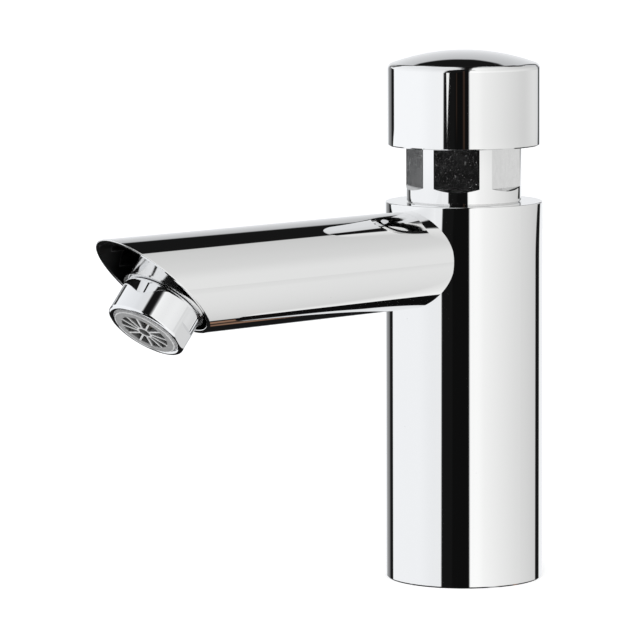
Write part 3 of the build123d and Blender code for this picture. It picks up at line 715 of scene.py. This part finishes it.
def plug_thread(finish):
    """Turns of thread on the walls of the inlet and the stud hole."""
    turns = finish.axis("Z").waves(2 * math.pi / THREAD_PITCH)
    inlet = finish.radius().below(INLET_RADIUS, 0.05 * MM)
    stud = finish.radius(0.0, STUD_SETBACK).below(STUD_RADIUS, 0.05 * MM)
    return turns * inlet.math("MAXIMUM", stud)


def dress(material, *names):
    """Gives CAD nodes a material in place of their plain one."""
    for name in names:
        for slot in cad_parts[name].material_slots:
            slot.material = material


def dress_all():
    """Dresses every node by what it's made of."""
    dress(chrome("chrome_column", column_bare), "column_body")
    # The spout's bore flanks and the nozzle's floor get painted shade, nearly black
    dress(chrome("chrome_spout", wipe=(1, 0.2, 1), dark=bore_flanks), "spout_tube")
    dress(chrome("chrome_nozzle", dark=nozzle_floor, satin=0.12), "spout_nozzle")
    dress(chrome("chrome_aerator"), "aerator_housing")
    dress(chrome("chrome_bonnet", bonnet_bare, milled=neck_recesses), "bonnet")
    dress(chrome("chrome_cap", cap_bare), "push_cap")
    dress(brass("brass_plug", plug_thread), "foot_plug")
    dress(
        brass("brass_turned"),
        "cap_carrier", "stem", "valve_seat", "valve_holder", "valve_nut", "timing_jet",
    )
    dress(steel("steel_parts"), "inlet_strainer", "piston_clip", "retaining_ring")
    dress(insert_plastic("grey_insert"), "aerator_insert")
    dress(
        white_plastic("white_moulding"),
        "cartridge_sleeve", "guide_bush", "piston", "flow_regulator",
    )
    dress(
        rubber("black_rubber"),
        "base_gasket", "foot_o_ring", "sleeve_o_rings", "seat_o_ring", "bonnet_o_ring",
        "stem_o_rings", "wiper_seal", "stop_bumper", "piston_seal", "valve_washer",
        "regulator_o_ring", "aerator_washer",
    )


# ---- Pieces made here ----

def aerator_matrix():
    """The aerator's frame: Z out of the mouth, Y towards the spout's upper lip."""
    angle = math.radians(MOUTH_ANGLE)
    out = Vector((0, -math.cos(angle), -math.sin(angle)))
    upward = Vector((0, -math.sin(angle), math.cos(angle)))
    mouth = Vector((0, -MOUTH_REACH, SPOUT_AXIS_HEIGHT))
    place = mouth + out * RIM_DROP - upward * RIM_SETBACK
    across = upward.cross(out)
    turn = Matrix((across, upward, out)).transposed().to_4x4()
    return Matrix.Translation(place) @ turn


def tube_along(made, points, radius, sides=6):
    """A closed round tube along points, in a bmesh."""
    rings = []
    for index, point in enumerate(points):
        before, after = points[max(index - 1, 0)], points[min(index + 1, len(points) - 1)]
        way = (after - before).normalized()
        first = first - way * first.dot(way) if rings else way.orthogonal()
        first.normalize()
        second = way.cross(first)
        rings.append([
            made.verts.new(point + (first * math.cos(a) + second * math.sin(a)) * radius)
            for a in (2 * math.pi * k / sides for k in range(sides))
        ])
    for one, other in zip(rings, rings[1:]):
        for k in range(sides):
            made.faces.new((one[k], one[(k + 1) % sides], other[(k + 1) % sides], other[k]))
    made.faces.new(tuple(reversed(rings[0])))
    made.faces.new(tuple(rings[-1]))


def new_piece(name, made, material, body):
    """A smooth mesh piece from a bmesh, riding on a body."""
    data = bpy.data.meshes.new(name)
    made.normal_update()
    for face in made.faces:
        face.smooth = True
    made.to_mesh(data)
    made.free()
    piece = bpy.data.objects.new(name, data)
    bpy.context.scene.collection.objects.link(piece)
    data.materials.append(material)
    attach(piece, body)
    return piece


def add_wire_mesh():
    """Woven wire in place of the plain disc behind the aerator's windows."""
    place = aerator_matrix()
    middle = -(MESH_HIGH + MESH_LOW) / 2
    made = bmesh.new()
    count = int(MESH_RADIUS / WIRE_PITCH)
    for way in (0, 1):
        for row in range(-count, count + 1):
            offset = row * WIRE_PITCH
            half = math.sqrt(max(MESH_RADIUS ** 2 - offset ** 2, 0)) - WIRE_RADIUS
            steps = max(int(2 * half / WIRE_PITCH * 3), 2)
            points = []
            for step in range(steps + 1):
                run = -half + 2 * half * step / steps
                sign = 1 if (row + way) % 2 == 0 else -1
                lift = math.cos(math.pi * run / WIRE_PITCH) * sign * WIRE_RADIUS
                local = (run, offset) if way == 0 else (offset, run)
                points.append(place @ Vector((*local, middle + lift)))
            tube_along(made, points, WIRE_RADIUS, 5)
    wire = steel("mesh_wire", WIRE_TONE)
    piece = new_piece("wire_mesh", made, wire, "tap_body")
    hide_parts("aerator_mesh")


def add_spring():
    """The return spring as a wound wire."""
    turns = 2 * SPRING_END_TURNS + SPRING_ACTIVE_TURNS
    low = SPRING_LOW + SPRING_WIRE_RADIUS - SPRING_GRIND
    rise = SPRING_HIGH - SPRING_LOW - 2 * (SPRING_WIRE_RADIUS - SPRING_GRIND)
    pitch = (rise - 2 * SPRING_END_TURNS * SPRING_END_PITCH) / SPRING_ACTIVE_TURNS
    points = []
    for step in range(turns * SPRING_STEPS + 1):
        turn = step / SPRING_STEPS
        opened = min(max(turn - SPRING_END_TURNS, 0), SPRING_ACTIVE_TURNS)
        height = low + (turn - opened) * SPRING_END_PITCH + opened * pitch
        angle = 2 * math.pi * turn
        round_about = Vector((math.cos(angle), math.sin(angle), 0)) * SPRING_RADIUS
        points.append(round_about + Vector((0, 0, height)))
    made = bmesh.new()
    tube_along(made, points, SPRING_WIRE_RADIUS, 12)
    for vertex in made.verts:
        vertex.co.z = min(max(vertex.co.z, SPRING_LOW), SPRING_HIGH)
    piece = new_piece("wound_spring", made, steel("spring_wire"), "tap_body")
    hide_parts("return_spring")
    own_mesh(piece)


bpy.context.scene.view_settings.view_transform = "Standard"
add_camera()
Studio()
add_floor()
add_key_light()
dress_all()
add_wire_mesh()
add_spring()
